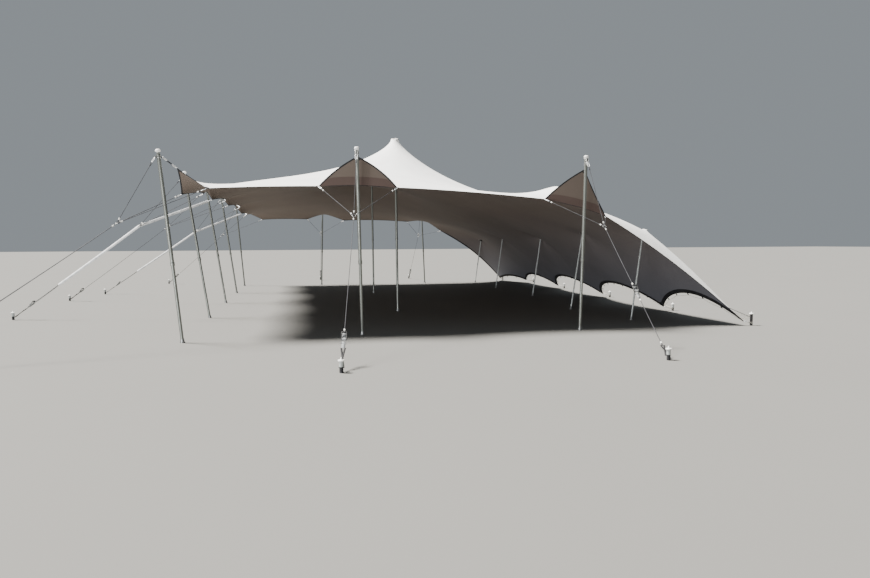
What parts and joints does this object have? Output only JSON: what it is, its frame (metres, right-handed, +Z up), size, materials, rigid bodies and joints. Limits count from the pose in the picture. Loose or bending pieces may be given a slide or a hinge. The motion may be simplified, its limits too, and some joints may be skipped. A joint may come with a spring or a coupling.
{
  "type": "stretch tent",
  "caption": "Open-sided stretch tent: one tensioned fabric roof on leaning poles, guyed to stakes and pulled down to the ground along one side.",
  "frame": {"origin": "on level ground at the middle of the whole footprint, stakes included", "axes": "+X along the front towards the grounded side, +Y from the open front to the back, +Z up"},
  "size_m": [15.322, 20.872, 3.913],
  "materials": {
    "canopy_fabric": "two-way stretch polyester knit, coated, pale chino colour with a darker underside",
    "pole_aluminium": "mill-finish extruded tube, lightly weathered",
    "rope_dark": "braided dark polyester rope",
    "strap_white": "woven white polyester webbing",
    "stake_steel": "dark forged steel pin with a white plastic safety cap"
  },
  "bodies": {
    "root": {"canopy": "canopy_fabric", "pole_front_left": "pole_aluminium", "pole_front_middle": "pole_aluminium", "pole_front_right": "pole_aluminium", "pole_left_1": "pole_aluminium", "pole_left_2": "pole_aluminium", "pole_left_3": "pole_aluminium", "pole_back_left": "pole_aluminium", "pole_back_middle": "pole_aluminium", "pole_back_right": "pole_aluminium", "pole_centre_front": "pole_aluminium", "pole_centre_back": "pole_aluminium", "pole_wall_1": "pole_aluminium", "pole_wall_2": "pole_aluminium", "pole_wall_3": "pole_aluminium", "pole_wall_4": "pole_aluminium", "pole_wall_5": "pole_aluminium", "guy_front_left": "rope_dark", "stake_front_left": "stake_steel", "guy_front_middle": "rope_dark", "stake_front_middle": "stake_steel", "guy_front_right": "rope_dark", "stake_front_right": "stake_steel", "guy_left_1": "strap_white", "stake_left_1": "stake_steel", "guy_left_2": "rope_dark", "stake_left_2": "stake_steel", "guy_left_3": "strap_white", "stake_left_3": "stake_steel", "guy_back_left": "rope_dark", "stake_back_left": "stake_steel", "guy_back_middle": "rope_dark", "stake_back_middle": "stake_steel", "guy_back_right": "rope_dark", "stake_back_right": "stake_steel", "wall_stake_1": "stake_steel", "wall_stake_2": "stake_steel", "wall_stake_3": "stake_steel", "wall_stake_4": "stake_steel", "wall_stake_5": "stake_steel", "wall_stake_6": "stake_steel"}
  },
  "joints": []
}
